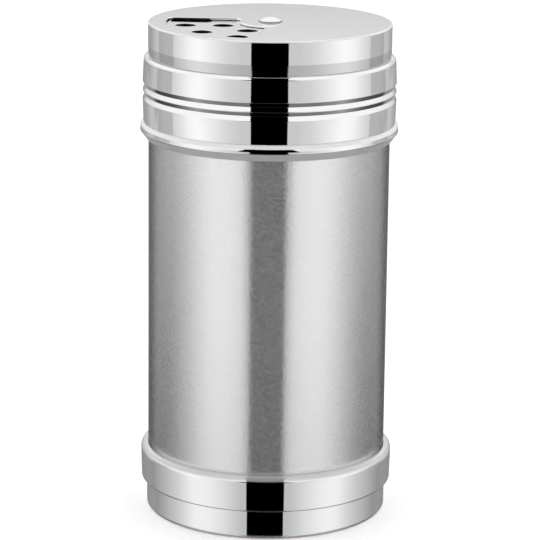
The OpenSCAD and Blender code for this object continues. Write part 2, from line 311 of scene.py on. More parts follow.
add(tree, "ShaderNodeOutputWorld", [mixed.outputs[0]])
scene.view_settings.view_transform = "Standard"
print(f"card: {min(half for _, half in CARD_EDGE)} degrees to each side at its narrowest")

# %% [markdown]
# ## The floor
# A shadow catcher would have to be laid over white afterwards, so the pot stands on a plain pale
# sheet. Its colour alone renders as a light grey, so a little emission, seen by the camera only,
# lifts it to the white of the backdrop, and the pot's soft shadow still shows on it. It is kept
# out of mirror reflections: there the world's own dim floor zone stands in for it.

# %% Floor
FLOOR_HALF = 3.0
FIBRE_SCALE, FIBRE_SPAN, PAPER_TONES, PAPER_LIFT = 40.0, (0.2, 0.8), (0.84, 0.86), 0.34

floor_mesh = bpy.data.meshes.new("floor")
floor_mesh.from_pydata([(x * FLOOR_HALF, y * FLOOR_HALF, 0)
                        for x, y in ((-1, -1), (1, -1), (1, 1), (-1, 1))], [], [(0, 1, 2, 3)])
floor = bpy.data.objects.new("floor", floor_mesh)
scene.collection.objects.link(floor)
floor.visible_glossy = False
paper, tree = empty_material("pale paper")
fibre = out(tree, "ShaderNodeTexNoise", {
    "Vector": add(tree, "ShaderNodeTexCoord").outputs["Object"],
    "Scale": FIBRE_SCALE, "Detail": 4.0})
tone = step_between(tree, fibre, *FIBRE_SPAN, *PAPER_TONES)
tone = out(tree, "ShaderNodeCombineColor", [tone, tone, tone])
matt = out(tree, "ShaderNodeBsdfDiffuse", {"Color": tone})
seen = add(tree, "ShaderNodeLightPath").outputs["Is Camera Ray"]
lift = out(tree, "ShaderNodeEmission", {"Strength": maths(tree, "MULTIPLY", seen, PAPER_LIFT)})
both = out(tree, "ShaderNodeAddShader", [matt, lift])
add(tree, "ShaderNodeOutputMaterial", [both])
floor_mesh.materials.append(paper)
print(f"floor: {2 * FLOOR_HALF:.0f} m square")

# %% [markdown]
# ## Turning marks
# Spun sheet keeps fine rings from the tool, the brush or the polishing wheel, on a wall and on a
# flat top alike. Stretched noise on the wall's own length would do for a tube only. Here the noise
# has four dimensions: three are the place, squeezed so that it changes slowly round the pot and
# fast upwards, and the fourth is the distance from the axis. On a wall that gives level rings, on
# a flat top it gives circles, with no seam anywhere.

# %% Turning marks
tree = marks = bpy.data.node_groups.new("turning marks", "ShaderNodeTree")
add_sockets(tree, "INPUT", [("Rings per mm", "Float"), ("Round per mm", "Float")])
add_sockets(tree, "OUTPUT", [("Marks", "Float")])
rings, around = add(tree, "NodeGroupInput").outputs[:2]
place = out(tree, "ShaderNodeVectorMath", [
    add(tree, "ShaderNodeTexCoord").outputs["Object"], (1 / MM,) * 3], operation="MULTIPLY")
x, y, z = add(tree, "ShaderNodeSeparateXYZ", [place]).outputs
radius = maths(tree, "SQRT", maths(tree, "ADD", maths(tree, "MULTIPLY", x, x),
                                   maths(tree, "MULTIPLY", y, y)))
squeezed = vector(tree, maths(tree, "MULTIPLY", x, around), maths(tree, "MULTIPLY", y, around),
                  maths(tree, "MULTIPLY", z, rings))
ring_noise = add(tree, "ShaderNodeTexNoise", {
    "Vector": squeezed, "W": maths(tree, "MULTIPLY", radius, rings),
    "Scale": 1.0, "Detail": 3.0, "Roughness": 0.6}, noise_dimensions="4D")
add(tree, "NodeGroupOutput", [ring_noise.outputs[0]])
print("turning marks:", len(tree.nodes), "nodes")

# %% [markdown]
# ## Finishes of one steel
# All the metal is the same stainless steel, so one function makes every finish, from how rough it
# is, how far the gloss is stretched across the brushing, and how deep its marks are. The marks
# move the colour and the roughness a little and bend the normal through a bump. The shells are
# mirror polished, the pieces inside keep their mill finish, and the edges that a punch has cut
# are torn and dull. Where they border a dark opening, they are painted nearly black as a painted
# shade. The tube is brushed, and a painted shade makes it a little darker towards its foot.
#
# No pressed shell is a mirror all over. The wheel doesn't reach the tight roundings and the
# creases as well as the walls, so these are scuffed to a haze. On top of that, some places get a
# painted shade or a painted highlight in their tone. The pieces are turned, so each such place
# is a band of heights that goes all the way round.

# %% Bands of heights
# A band's two levels and soft ends are in mm. tone is a factor: a painted shade below 1 and a
# painted highlight above it. haze is a share from 0 to 1.
Band = namedtuple("Band", "low high soft tone haze", defaults=[0])


def inside_band(tree, level, band):
    """1 within the band's heights and 0 outside them, with soft ends."""
    return maths(tree, "MULTIPLY",
                 step_between(tree, level, band.low - band.soft, band.low + band.soft),
                 step_between(tree, level, band.high - band.soft, band.high + band.soft, 1, 0))


def banded(tree, level, bands, outside, tone, metallic):
    """The tone and the metallic share after all the bands, whose haze counts only outside."""
    for band in bands:
        inside = inside_band(tree, level, band)
        share = maths(tree, "MULTIPLY_ADD", inside, band.tone - 1, 1.0)
        tone = maths(tree, "MULTIPLY", tone, share)
        if band.haze:
            inside = maths(tree, "MULTIPLY", inside, outside)
            share = maths(tree, "MULTIPLY_ADD", inside, -band.haze, 1.0)
            metallic = maths(tree, "MULTIPLY", share, metallic)
    return tone, metallic


def beyond(tree, across, away, radius):
    """1 farther from the axis than the radius, 0 nearer to it."""
    square = maths(tree, "ADD", maths(tree, "MULTIPLY", across, across),
                   maths(tree, "MULTIPLY", away, away))
    return maths(tree, "GREATER_THAN", square, radius ** 2)


# %% Roughness and marks
NOISE_SPAN, NOISE_CORE = (0.25, 0.75), (0.3, 0.7)
WEAR_SCALE, UNEVEN = 260.0, 0.05


def worn(tree, here, lines, roughness):
    """The roughness, a little uneven with the marks and in soft patches."""
    wear = out(tree, "ShaderNodeTexNoise", {"Vector": here, "Scale": WEAR_SCALE, "Detail": 3.0})
    spread = maths(tree, "ADD", step_between(tree, lines, *NOISE_SPAN, 1 - UNEVEN, 1 + UNEVEN),
                   step_between(tree, wear, *NOISE_CORE, -UNEVEN, UNEVEN))
    return maths(tree, "MULTIPLY", spread, roughness)


def marked_normal(tree, lines, depth, lean):
    """The normal with the marks as a bump, tilted down where the marks are saw-toothed."""
    normal = out(tree, "ShaderNodeBump", {"Strength": 1.0, "Distance": depth * MM, "Height": lines})
    if lean:
        normal = out(tree, "ShaderNodeVectorMath", [normal, (0, 0, -lean)], operation="ADD")
        normal = out(tree, "ShaderNodeVectorMath", [normal], operation="NORMALIZE")
    return normal


# %% The steel function
SATIN, SATIN_SOFT = 0.05, 0.02
# The next two are the tone of a painted shade on a cut edge and the softness of its end, in mm.
PAINTED_SHADE, DARK_SOFT = 0.04, 0.2
QUARTER_TURN = 0.25


def steel(name, colour, roughness, rings, depth, around=0.05, stretch=0.0, grain=0.02, tear=0.0,
          metallic=1.0, edge=1.0, lean=0.0, bands=(), hazy_beyond=None, satin_above=None,
          painted_shade_from=None):
    """A stainless finish. rings and around set the marks' size, depth their height in mm, grain
    how much they move the tone and tear how much they move the metallic share. stretch draws the
    gloss out across the marks. metallic below 1 gives the haze of a torn surface, edge below 1
    dims it where it is seen at a low angle, and lean is the slope of saw-toothed marks. Each band
    multiplies the tone, a painted shade below 1 and a painted highlight above it, and takes its
    haze off the metallic share, the haze only farther from the axis than hazy_beyond. Above
    satin_above it is rougher. Left of the x in the last argument it is painted nearly black as a
    painted shade."""
    material, tree = empty_material(name)
    lines = out(tree, "ShaderNodeGroup", [rings, around], node_tree=marks)
    here = add(tree, "ShaderNodeTexCoord").outputs["Object"]
    across, away, level = [maths(tree, "DIVIDE", part, MM)
                           for part in add(tree, "ShaderNodeSeparateXYZ", [here]).outputs]
    rough = worn(tree, here, lines, roughness)
    if satin_above:
        rough = maths(tree, "ADD", rough, step_between(
            tree, level, satin_above, satin_above + SATIN_SOFT, 0, SATIN))
    tone = step_between(tree, lines, *NOISE_SPAN, 1 - grain, 1 + grain)
    if tear:
        torn = step_between(tree, lines, *NOISE_CORE, tear, -tear)
        metallic = maths(tree, "ADD", torn, metallic)
    outside = beyond(tree, across, away, hazy_beyond) if hazy_beyond else 1.0
    tone, metallic = banded(tree, level, bands, outside, tone, metallic)
    if painted_shade_from:
        tone = maths(tree, "MULTIPLY", tone, step_between(
            tree, across, painted_shade_from - DARK_SOFT, painted_shade_from + DARK_SOFT, PAINTED_SHADE, 1))
    tones = [maths(tree, "MULTIPLY", tone, part) for part in colour]
    shader = add(tree, "ShaderNodeBsdfPrincipled", {
        "Base Color": out(tree, "ShaderNodeCombineColor", tones),
        "Metallic": metallic, "Specular Tint": (edge, edge, edge, 1), "Roughness": rough,
        "Anisotropic": stretch, "Anisotropic Rotation": QUARTER_TURN,
        "Normal": marked_normal(tree, lines, depth, lean)})
    if stretch:
        round_axis = add(tree, "ShaderNodeTangent", direction_type="RADIAL", axis="Z")
        tree.links.new(round_axis.outputs[0], shader.inputs["Tangent"])
    add(tree, "ShaderNodeOutputMaterial", [shader.outputs[0]])
    return material


# %% Mirror, brushed, plain and torn finishes
def mirror(name, roughness=0.03, **settings):
    """Polished steel, which differs from piece to piece mostly in its bands."""
    return steel(name, (0.80, 0.80, 0.805), roughness, rings=8, depth=0.00002, grain=0.006,
                 **settings)


polished = mirror("polished stainless")
# The tube's band is a painted shade: its tone falls to 0.88 at the foot and fades out about 65 mm
# up.
brushed = steel("brushed stainless", (0.92, 0.92, 0.925), roughness=0.16, rings=2.4, depth=0.022,
                around=1.25, stretch=1.0, grain=0.07, tear=0.045, metallic=0.8, edge=0.0,
                lean=0.19, bands=[Band(low=-99, high=30, soft=35, tone=0.88)])
plain = steel("plain stainless", (0.6, 0.6, 0.605), roughness=0.3, rings=3, depth=0.001,
              around=0.2)
TORN = {"roughness": 0.6, "rings": 2, "depth": 0.002, "around": 2, "metallic": 0.3}
# Left of x = -15 mm the cut edge is painted nearly black, a painted shade where the window lies
# over the dark pour opening.
cut = steel("cut edge", (0.85, 0.85, 0.85), painted_shade_from=-15.0, **TORN)
# The sieve's cut edges are painted nearly black, a painted shade for the dark inside of its holes
# and pour opening.
hole_edge_shade = steel("sieve's cut edge in painted shade", (0.04, 0.04, 0.04), **TORN)
print("finishes:", [m.name for m in bpy.data.materials])

# %% [markdown]
# ## Where the polish is duller, and where shade and highlights are painted
# On the lid these places are the cap's hem, which leans a little inwards below the wall, the
# roundings at the edges of the cap and of the insert, and the foot of the rivet's dome. The cap's
# flat top is slightly satin. On the base cup they are the foot's rounding, the crease and the
# soft shoulder, and on the bead the rounding above and the slope below. Where they are hazy, the
# haze is a scuffed finish. Their tones are painted light. There is painted shade on the hem, at
# the foot of the dome, on the foot's rounding, in the crease, on the shoulder and on the bead's
# slope. The shoulder also gets a painted dark line and a painted reflection of the tube, and the
# roundings of the cap, the insert and the bead get painted highlights. They could be painted on
# a texture, but as heights taken from the shared sizes they stay in place when a size changes.

# %% Polished finishes
# On the cap the hem's band is a painted shade, and the rim band's tone of 1.1 is a painted
# highlight on its hazy rounding.
cap_steel = mirror("polished stainless of the cap", hazy_beyond=27, satin_above=CAP_TOP - 0.03,
                   bands=[Band(low=0, high=HEM_TOP_Z + 0.05, soft=0.05, tone=0.74),
                          Band(low=CAP_TOP - 0.36, high=CAP_TOP - 0.03, soft=0.03, tone=1.1,
                               haze=0.9)])
# The band at the foot of the rivet's dome is a painted shade, the dark line of shadow under its
# edge.
rivet_steel = mirror("polished stainless of the rivet", roughness=0.05, bands=[
    Band(low=CAP_TOP + 0.08, high=CAP_TOP + 0.32, soft=0.06, tone=0.2)])
# Of the base's bands, the foot's rounding, the crease and the shoulder get painted shade. The
# narrow band on the shoulder is a painted dark line, and the top one a painted reflection of the
# bright tube.
base_steel = mirror("polished stainless of the base", bands=[
    Band(low=-9, high=0.8, soft=0.5, tone=0.85, haze=0.5),
    Band(low=FOOT_H - 0.1, high=FOOT_H + 0.4, soft=0.1, tone=0.95),
    Band(low=RING_TOP_Z - 1.0, high=RING_TOP_Z + 9, soft=0.3, tone=0.8, haze=0.6),
    Band(low=RING_TOP_Z - 0.6, high=RING_TOP_Z - 0.45, soft=0.07, tone=0.85),
    Band(low=RING_TOP_Z - 0.25, high=RING_TOP_Z + 9, soft=0.1, tone=1.1)])
# The sieve's band on its roundings is hazy, and its tone of 1.1 is a painted highlight.
sieve_steel = mirror("polished stainless of the sieve", bands=[
    Band(low=PLATE_Z - 0.3, high=PLATE_Z - 0.02, soft=0.02, tone=1.1, haze=0.9)])
# The bead's upper band, tone 1.15, is a painted highlight. The lower one, tone 0.57, is a painted
# shade on its downward slope. Both are hazy.
bead_steel = mirror("polished stainless of the bead", bands=[
    Band(low=BEAD_TOP_Z - 0.96, high=BEAD_TOP_Z + 0.1, soft=0.06, tone=1.15, haze=1.0),
    Band(low=BEAD_LOW_Z - 1, high=BEAD_TURN_Z - 0.08, soft=0.03, tone=0.57, haze=1.0)])
print("all finishes:", len(bpy.data.materials))

# %% [markdown]
# ## Bent sheet
# A pressed shell is drawn as a sheet-metal worker draws it: the corners of its outer line, each
# with a bend radius, thickened to one side by the sheet. Two things matter to a mirror finish.
# Each bend gets many points, and the flat beside it gets one more point very close to the bend, so
# that smooth shading turns within the bend and the flat stays truly flat. The cut edge of the
# sheet is rounded, as a deburred edge is.

# %% Bent lines
BEND_STEP = math.radians(7.5)
SUPPORT = 0.04
SAME_POINT = 0.001


def corner_arc(before, here, after, radius):
    """Points of the bend of that radius at one corner."""
    if radius == 0:
        return [here]
    back, on = (before - here).normalized(), (after - here).normalized()
    half = back.angle(on) / 2
    reach = radius / math.tan(half)
    centre = here + (back + on).normalized() * radius / math.sin(half)
    first, last = here + back * reach - centre, here + on * reach - centre
    turn = -first.angle_signed(last)
    count = max(2, math.ceil(abs(turn) / BEND_STEP))
    return [centre + Matrix.Rotation(turn * i / count, 2) @ first for i in range(count + 1)]


def supported(pieces):
    """Joins bends into one line, with a support point on each flat close to both of its ends."""
    line = list(pieces[0])
    for points in pieces[1:]:
        gap = points[0] - line[-1]
        if gap.length > 3 * SUPPORT:
            short = gap.normalized() * SUPPORT
            line += [line[-1] + short, points[0] - short]
        line += points if gap.length > SAME_POINT else points[1:]
    return line


def bent(corners):
    """A bent line through corners given as (r, z, bend radius) in mm."""
    flat = [Vector(c[:2]) for c in corners]
    bends = [corner_arc(flat[i - 1], flat[i], flat[i + 1], corners[i][2])
             for i in range(1, len(flat) - 1)]
    return supported([[flat[0]], *bends, [flat[-1]]])


def ring_section(in_r, low_z, out_r, top_z, bend, start):
    """A closed section with four rounded corners, which starts on its lower side."""
    return bent([(in_r + start, low_z, 0), (out_r, low_z, bend), (out_r, top_z, bend),
                 (in_r, top_z, bend), (in_r, low_z, bend), (in_r + start, low_z, 0)])[:-1]


print("a right-angled bend has", len(corner_arc(*map(Vector, ((0, 1), (0, 0), (1, 0))), 0.5)),
      "points")

# %% Sheet outlines
END_ROUND = 0.06


def beside(line, t):
    """The line moved by t to its left, kept parallel."""
    sides = []
    for a, b in zip(line, line[1:]):
        along = (b - a).normalized()
        sides.append(Vector((-along.y, along.x)))
    moved = []
    for i, p in enumerate(line):
        m, n = sides[max(i - 1, 0)], sides[min(i, len(sides) - 1)]
        moved.append(p + (m + n) * (t / (1 + m.dot(n))))
    return moved


def round_end(tip, inward, side, t):
    """The rounded cut edge of a sheet: points from its outer face round to its inner face."""
    r = END_ROUND * t
    points = []
    for base, start in ((tip, 0), (tip + side * (t - 2 * r), 90)):
        middle = base + side * r + inward * r
        for turn in (0, 30, 60, 90):
            a = math.radians(start + turn)
            points.append(middle - side * r * math.cos(a) - inward * r * math.sin(a))
    return points


def sheet(line, t, round_start=True, round_last=True):
    """Outline of a sheet of thickness t on the left of its outer line. An end that isn't rounded
    stays open: the axis, or the edge of a plate that another tree adds."""
    inner = beside(line, t)
    outer = line[1:-1]
    if round_start:
        start = round_end(line[0], (line[1] - line[0]).normalized(),
                          (inner[0] - line[0]).normalized(), t)[::-1]
    if round_last:
        last = round_end(line[-1], (line[-2] - line[-1]).normalized(),
                         (inner[-1] - line[-1]).normalized(), t)
    if round_start and round_last:
        return outer + last + inner[-2:0:-1] + start
    if round_last:
        return line[:1] + outer + last + inner[-2::-1]
    return inner[:0:-1] + start + line[1:]


flat_strip = [Vector((0, 0)), Vector((0, 5)), Vector((0, 10))]
print("a flat strip's outline has", len(sheet(flat_strip, LID_SHEET)), "points")

# %% [markdown]
# ## Turning a shell with Geometry Nodes
# Every shell follows one rule, an outline turned about the axis, so one tree turns them all. The
# outline comes in as a chain of edges, becomes a curve, and is swept round a small circle at the
# axis. Merging by distance then closes the seam and the pole. The tree ends in Realize Instances
# and Set Material, and its result is taken as a plain mesh.

# %% Helpers for Geometry Nodes
MERGE_M = 1e-6


def new_tree(name, inputs):
    """An empty Geometry Nodes tree with named inputs."""
    tree = bpy.data.node_groups.new(name, "GeometryNodeTree")
    add_sockets(tree, "OUTPUT", [("Geometry", "Geometry")])
    add_sockets(tree, "INPUT", [("Geometry", "Geometry")] + inputs)
    return tree


def close_tree(tree, geometry, material, second=None, where=None):
    """Merges the seams, shades smooth, and ends the tree the way the export needs: real geometry
    with its material, and a second material where that is asked."""
    merged = geo(tree, "MergeByDistance", {"Geometry": geometry, "Distance": MERGE_M})
    smooth = geo(tree, "SetShadeSmooth", {"Geometry": merged})
    real = geo(tree, "RealizeInstances", {"Geometry": smooth})
    done = geo(tree, "SetMaterial", {"Geometry": real, "Material": material})
    if second:
        done = geo(tree, "SetMaterial", {"Geometry": done, "Selection": where, "Material": second})
    add(tree, "NodeGroupOutput", [done])


def set_inputs(modifier, values):
    """Sets a modifier's inputs by their sockets' identifiers."""
    for item in modifier.node_group.interface.items_tree:
        if item.item_type == "SOCKET" and item.in_out == "INPUT" and item.name in values:
            modifier[item.identifier] = values[item.name]


# %% The turning tree
SEGMENTS = 256

tree = turning = new_tree("turned shell", [
    ("Segments", "Int"), ("Axis circle", "Float"), ("Material", "Material")])
given = add(tree, "NodeGroupInput").outputs
outline = geo(tree, "MeshToCurve", {"Mesh": given["Geometry"]})
circle = geo(tree, "CurvePrimitiveCircle", {
    "Resolution": given["Segments"], "Radius": given["Axis circle"]})
upright = geo(tree, "SetCurveNormal", {"Curve": circle}, mode="Z_UP")
swept = geo(tree, "CurveToMesh", {"Curve": upright, "Profile Curve": outline})
close_tree(tree, swept, given["Material"])
print(f"turning tree: {len(tree.nodes)} nodes, {SEGMENTS} segments round")

# %% [markdown]
# ## From outline to finished piece
# The outline is drawn flat, x outwards from the axis circle and y downwards, which is how Curve to
# Mesh lays a profile on an upright circle. Afterwards the mesh is checked: no open edges, faces
# outwards, and its box against the CAD node that it stands for.

# %% Finishing helpers
AXIS_CIRCLE = 1.0
DOUBLES_M, SHARP_ANGLE = 1e-7, math.radians(50)


def outline_object(name, points, closed):
    """A chain of edges for the turning tree, from (r, z) points in mm."""
    mesh = bpy.data.meshes.new(name)
    edges = [(i, i + 1) for i in range(len(points) - 1)]
    if closed:
        edges.append((len(points) - 1, 0))
    mesh.from_pydata([((r - AXIS_CIRCLE) * MM, -z * MM, 0) for r, z in points], edges, [])
    piece = bpy.data.objects.new(name, mesh)
    scene.collection.objects.link(piece)
    return piece


def turned(name, points, material, closed=True):
    """A piece with the turning tree on its outline."""
    piece = outline_object(name, points, closed)
    modifier = piece.modifiers.new("turned", "NODES")
    modifier.node_group = turning
    set_inputs(modifier, {"Segments": SEGMENTS, "Axis circle": AXIS_CIRCLE * MM,
                          "Material": material})
    return piece


def bake_modifiers(piece):
    """Turns the evaluated result into the piece's own plain mesh, faces outwards."""
    graph = bpy.context.evaluated_depsgraph_get()
    plain_mesh = bpy.data.meshes.new_from_object(
        piece.evaluated_get(graph), preserve_all_data_layers=True, depsgraph=graph)
    piece.modifiers.clear()
    piece.data = plain_mesh
    work = bmesh.new()
    work.from_mesh(plain_mesh)
    bmesh.ops.remove_doubles(work, verts=work.verts, dist=DOUBLES_M)
    bmesh.ops.recalc_face_normals(work, faces=work.faces)
    open_edges = sum(1 for e in work.edges if not e.is_manifold)
    work.to_mesh(plain_mesh)
    work.free()
    plain_mesh.shade_smooth()
    plain_mesh.set_sharp_from_angle(angle=SHARP_ANGLE)
    return open_edges


def finish_piece(piece, body, nodes):
    """Checks a piece, hangs it on its body and lets it stand for its CAD nodes."""
    open_edges = bake_modifiers(piece)
    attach(piece, body)
    if nodes:
        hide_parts(*nodes)
    low = [min(v.co[i] for v in piece.data.vertices) for i in range(3)]
    high = [max(v.co[i] for v in piece.data.vertices) for i in range(3)]
    print(f"{piece.name}: {len(piece.data.polygons)} faces, {open_edges} open edges, "
          f"mm {in_mm(low)} to {in_mm(high)}")
    for node in nodes:
        cad_low, cad_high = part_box(node)
        print(f"    CAD {node}: {in_mm(cad_low)} to {in_mm(cad_high)}")


# %% [markdown]
# ## The brushed tube
# A straight welded tube, its ends flanged outward so that they lock in the seams under the bead
# and inside the base. A cylinder with a Solidify modifier would do for the wall, but not for the
# flanges. Turned from its outline, the tube gets them with their bends, and as many segments
# round as the shells that it meets, so that no gap opens between the facets.

# %% Tube
LOW_FLANGE_R, TOP_FLANGE_R = TUBE_R + 0.8, TUBE_R + 0.5
tube = turned("brushed_tube", sheet(bent([
    (LOW_FLANGE_R, TUBE_LOW_Z + BODY_SHEET, 0), (TUBE_R, TUBE_LOW_Z + BODY_SHEET, TIGHT),
    (TUBE_R, TUBE_TOP_Z - BODY_SHEET, TIGHT), (TOP_FLANGE_R, TUBE_TOP_Z - BODY_SHEET, 0)]),
    BODY_SHEET), brushed)
finish_piece(tube, "container", ["container_tube"])

# %% [markdown]
# ## Floor pan and base cup
# The pan closes the tube. The base cup is pressed over it: a recessed underside, a narrow foot
# band, a crease, and a wider ring with a soft shoulder that closes on the tube. Both could be
# modelled ring by ring in Edit Mode. Written as corners with bend radii they read like a drawing,
# and the radius of a bend, which sets how broad the bright line along it is, is easy to change.

# %% Floor pan
PAN_Z, PAN_RISE, PAN_R, PAN_LOW_R, PAN_BEND = 2.55, 0.6, 29.75, 21.75, 1
pan = turned("floor_pan_mill", sheet(bent([
    (0, PAN_Z + PAN_RISE, 0), (PAN_LOW_R - 2 * PAN_RISE, PAN_Z + PAN_RISE, PAN_BEND),
    (PAN_LOW_R, PAN_Z, PAN_BEND), (PAN_R, PAN_Z, PAN_BEND), (PAN_R, LEDGE_Z, TIGHT),
    (LOW_FLANGE_R, LEDGE_Z, 0)]), BODY_SHEET, round_start=False), plain, closed=False)
finish_piece(pan, "container", ["floor_pan"])

# %% Base cup
RECESS, FOOT_IN_R, FOOT_R, FOOT_BEND, CREASE_BEND = 1.6, 26.3, 30.3, 1, 0.1
RING_LOW_R, RING_LOW_BEND, RING_TOP_R, RING_TOP_BEND = 31.6, 0.46, 31.85, 1.6
base = turned("base_cup_polished", sheet(bent([
    (0, RECESS, 0), (FOOT_IN_R - RECESS, RECESS, FOOT_BEND), (FOOT_IN_R, 0, FOOT_BEND),
    (FOOT_R, 0, FOOT_BEND), (FOOT_R, FOOT_H, CREASE_BEND), (RING_LOW_R, FOOT_H, RING_LOW_BEND),
    (RING_TOP_R, RING_TOP_Z, RING_TOP_BEND), (TUBE_R + FIT_GAP, RING_TOP_Z, 0)]),
    BODY_SHEET, round_start=False), base_steel, closed=False)
finish_piece(base, "container", ["base_cup"])

# %% [markdown]
# ## Bead and neck
# One ring makes the bead that shows under the lid and the neck that the lid screws on, with a
# rolled rim. The bead widens from its rounding above down to an edge, and slopes in to the tube
# below. A flattened torus could pass for a bead, but its reflection would be one even curve. Here
# the reflection breaks at the edge, so the bead is bent sheet like the rest.

# %% Neck
BEAD_R, BEAD_EDGE_BEND, BEAD_TOP_BEND, RIM_ROLL = 32.05, 0.46, 0.78, 0.8
BELLY_R, BELLY_Z, BELLY_BEND = BEAD_R - 0.02, BEAD_TURN_Z + 0.9, 5.0
ROLL_IN_R = NECK_R - 2 * RIM_ROLL
neck = turned("neck_ring_polished", sheet(bent([
    (TUBE_R + FIT_GAP + BODY_SHEET, BEAD_LOW_Z, 0), (BEAD_R, BEAD_TURN_Z, BEAD_EDGE_BEND),
    (BELLY_R, BELLY_Z, BELLY_BEND), (BEAD_R - 0.32, BEAD_TOP_Z, BEAD_TOP_BEND),
    (NECK_R, BEAD_TOP_Z, TIGHT), (NECK_R, RIM_Z, RIM_ROLL), (ROLL_IN_R, RIM_Z, RIM_ROLL),
    (ROLL_IN_R, RIM_Z - RIM_ROLL, 0)]), BODY_SHEET), bead_steel)
finish_piece(neck, "container", ["neck_ring"])

# %% [markdown]
# ## The neck's thread
# A thread is a spiral with a ridge swept along it, which is a rule, so Geometry Nodes draws it.
# The Screw modifier could wind it too, but would end it bluntly. Here the ridge thins out towards
# both ends by the curve's own radius, the way a rolled thread runs out.

# %% The thread's tree
SPIRAL_STEPS, RIDGE_STEPS, THINNEST = 128, 20, 0.001

tree = thread_tree = new_tree("rolled thread", [
    ("Turns", "Float"), ("Pitch", "Float"), ("Radius", "Float"), ("Top", "Float"),
    ("Ridge half height", "Float"), ("Ridge half depth", "Float"), ("Run-out", "Float"),
    ("Material", "Material")])
given = add(tree, "NodeGroupInput").outputs
rise = maths(tree, "MULTIPLY", given["Turns"], given["Pitch"])
spiral = geo(tree, "CurveSpiral", {
    "Resolution": SPIRAL_STEPS, "Rotations": given["Turns"], "Start Radius": given["Radius"],
    "End Radius": given["Radius"], "Height": rise})
foot = vector(tree, 0.0, 0.0, maths(tree, "SUBTRACT", given["Top"], rise))
spiral = geo(tree, "Transform", {"Geometry": spiral, "Translation": foot})
along = geo(tree, "SplineParameter")
from_end = maths(tree, "MINIMUM", along, maths(tree, "SUBTRACT", 1.0, along))
share = maths(tree, "MINIMUM", 1.0, maths(tree, "DIVIDE", from_end, given["Run-out"]))
fading = maths(tree, "SQRT", maths(tree, "MAXIMUM", THINNEST, share))
spiral = geo(tree, "SetCurveRadius", {"Curve": spiral, "Radius": fading})
spiral = geo(tree, "SetCurveNormal", {"Curve": spiral}, mode="Z_UP")
ridge = geo(tree, "CurvePrimitiveCircle", {"Resolution": RIDGE_STEPS, "Radius": 1.0})
section = vector(tree, given["Ridge half depth"], given["Ridge half height"], 1.0)
ridge = geo(tree, "Transform", {"Geometry": ridge, "Scale": section})
swept = geo(tree, "CurveToMesh", {"Curve": spiral, "Profile Curve": ridge, "Fill Caps": True})
close_tree(tree, swept, given["Material"])
print("thread tree:", len(tree.nodes), "nodes")

# %% Thread
THREAD = {"Turns": 2.0, "Pitch": 2.2 * MM, "Radius": (NECK_R + 0.2) * MM,
          "Top": (RIM_Z - 5.1) * MM, "Ridge half height": 0.65 * MM,
          "Ridge half depth": 0.38 * MM, "Run-out": 0.05}
thread = outline_object("neck_thread_polished", [(TUBE_R, 0), (TUBE_R, 1)], closed=False)
modifier = thread.modifiers.new("thread", "NODES")
modifier.node_group = thread_tree
set_inputs(modifier, {**THREAD, "Material": polished})
finish_piece(thread, "container", [])

# %% [markdown]
# ## The seal
# A soft ring lies between the neck's rim and the lid. Moulded silicone is matt and slightly
# uneven, so its skin is a fine noise in tone, roughness and bump. Light that scatters below the
# surface would be truer still, but is slow to render for a ring that shows only with the lid off.

# %% Seal
SEAL_IN_R, SEAL_OUT_R, SEAL_ROUND = 27.6, 30.2, 0.3
SKIN_SCALE, SKIN_TONES, SKIN_ROUGH, SKIN_BUMP, WARMTH = 900.0, (0.8, 0.86), (0.4, 0.55), 0.02, 0.98

silicone, tree = empty_material("soft white silicone")
skin = out(tree, "ShaderNodeTexNoise", {
    "Vector": add(tree, "ShaderNodeTexCoord").outputs["Object"],
    "Scale": SKIN_SCALE, "Detail": 3.0})
tone = step_between(tree, skin, *NOISE_CORE, *SKIN_TONES)
colour = [tone, tone, maths(tree, "MULTIPLY", tone, WARMTH)]
shader = add(tree, "ShaderNodeBsdfPrincipled", {
    "Base Color": out(tree, "ShaderNodeCombineColor", colour),
    "Roughness": step_between(tree, skin, *NOISE_CORE, *SKIN_ROUGH),
    "Normal": out(tree, "ShaderNodeBump", {"Distance": SKIN_BUMP * MM, "Height": skin})})
add(tree, "ShaderNodeOutputMaterial", [shader.outputs[0]])
seal = turned("seal_ring_soft", ring_section(SEAL_IN_R, SEAL_Z, SEAL_OUT_R, FLANGE_Z,
                                             SEAL_ROUND, start=SEAL_ROUND), silicone)
finish_piece(seal, "seal", ["seal_ring"])

# %% [markdown]
# ## The lid's collar
# Two grooves are rolled into the collar below its shoulder. Each has a straight flank above and
# one below, with tight bends between, and the flanks are what draws the dark and white lines in
# the picture: one looks at the floor, the other at the ceiling. A bump texture would leave the
# outline straight, so the grooves are real bends, and a loop places them by pitch and depth.

# %% Collar
COLLAR_R, COLLAR_TOP_R, COLLAR_LOW_R, SKIRT_Z = 31.45, 31.15, 31.25, BEAD_TOP_Z + FINE_GAP
GROOVES, GROOVE_TOP, GROOVE_PITCH, GROOVE_DEPTH = 2, SHOULDER_Z - 6.18, 2.2, 0.5
PEAK_BEND, VALLEY_BEND, SHOULDER_BEND = 0.42, 0.12, 0.9
groove_low = GROOVE_TOP - GROOVES * GROOVE_PITCH
corners = [Vector((COLLAR_LOW_R, SKIRT_Z))]
for i in range(2 * GROOVES + 1):
    corners.append(Vector((COLLAR_R - (i % 2) * GROOVE_DEPTH,
                           groove_low + i * GROOVE_PITCH / 2)))
corners.append(Vector((COLLAR_TOP_R, SHOULDER_Z)))
bends = [corner_arc(*corners[i - 1:i + 2], PEAK_BEND if i % 2 else VALLEY_BEND)
         for i in range(1, len(corners) - 1)]
shoulder = corner_arc(Vector((COLLAR_R, GROOVE_TOP)), corners[-1], Vector((0, SHOULDER_Z)),
                      SHOULDER_BEND)
collar_line = supported([corners[:1], *bends, shoulder,
                         [Vector((HAT_R + FIT_GAP, SHOULDER_Z))]])
